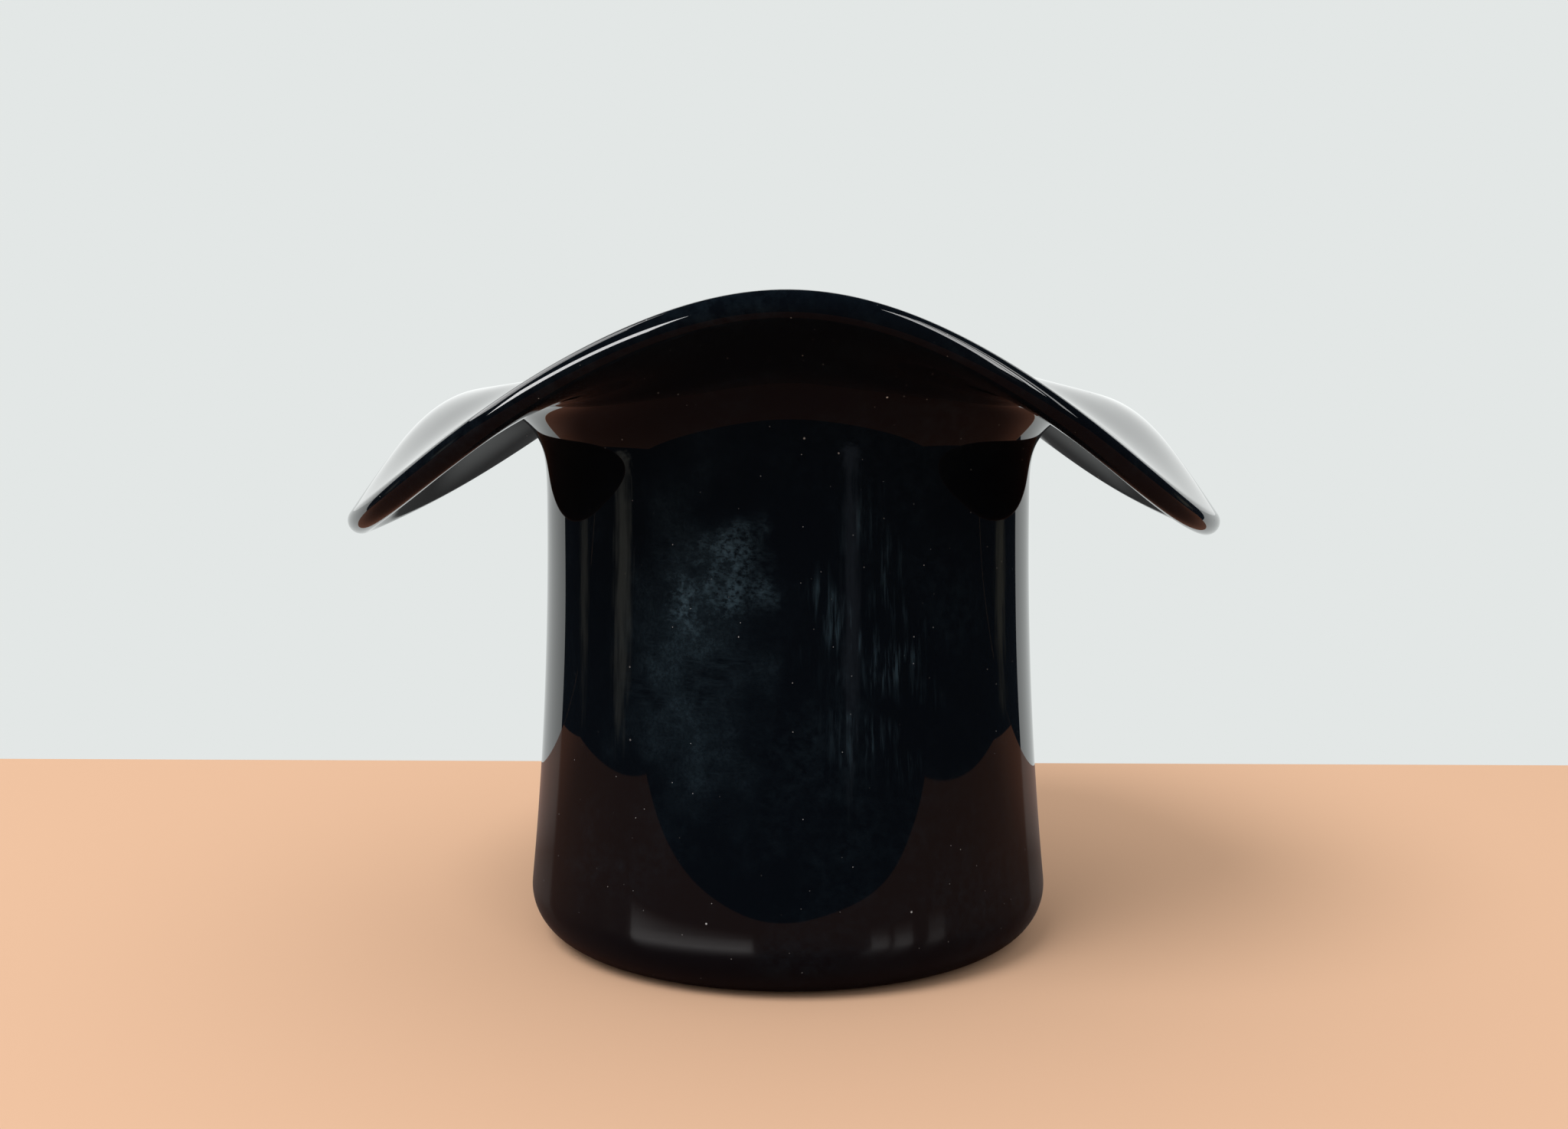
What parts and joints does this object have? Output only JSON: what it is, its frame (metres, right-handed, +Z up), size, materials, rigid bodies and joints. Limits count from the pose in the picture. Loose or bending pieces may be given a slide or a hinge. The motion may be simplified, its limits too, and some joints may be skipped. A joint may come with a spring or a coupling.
{
  "type": "glass hat",
  "caption": "Black glass top hat standing on its crown as a vase, with a drawn-in wall and a thick brim that rises at front and back and folds down at both sides.",
  "frame": {"origin": "on the table, under the middle of the round base", "axes": "+Z up from the closed crown to the open brim, -Y the front where the brim rises, +X and -X the two folded sides"},
  "size_m": [0.2483, 0.2178, 0.1832],
  "materials": {
    "black_glass": "opaque black glass, blown and fire-polished to a smooth gloss"
  },
  "bodies": {
    "root": {"base": "black_glass", "crown": "black_glass", "brim": "black_glass"}
  },
  "joints": []
}
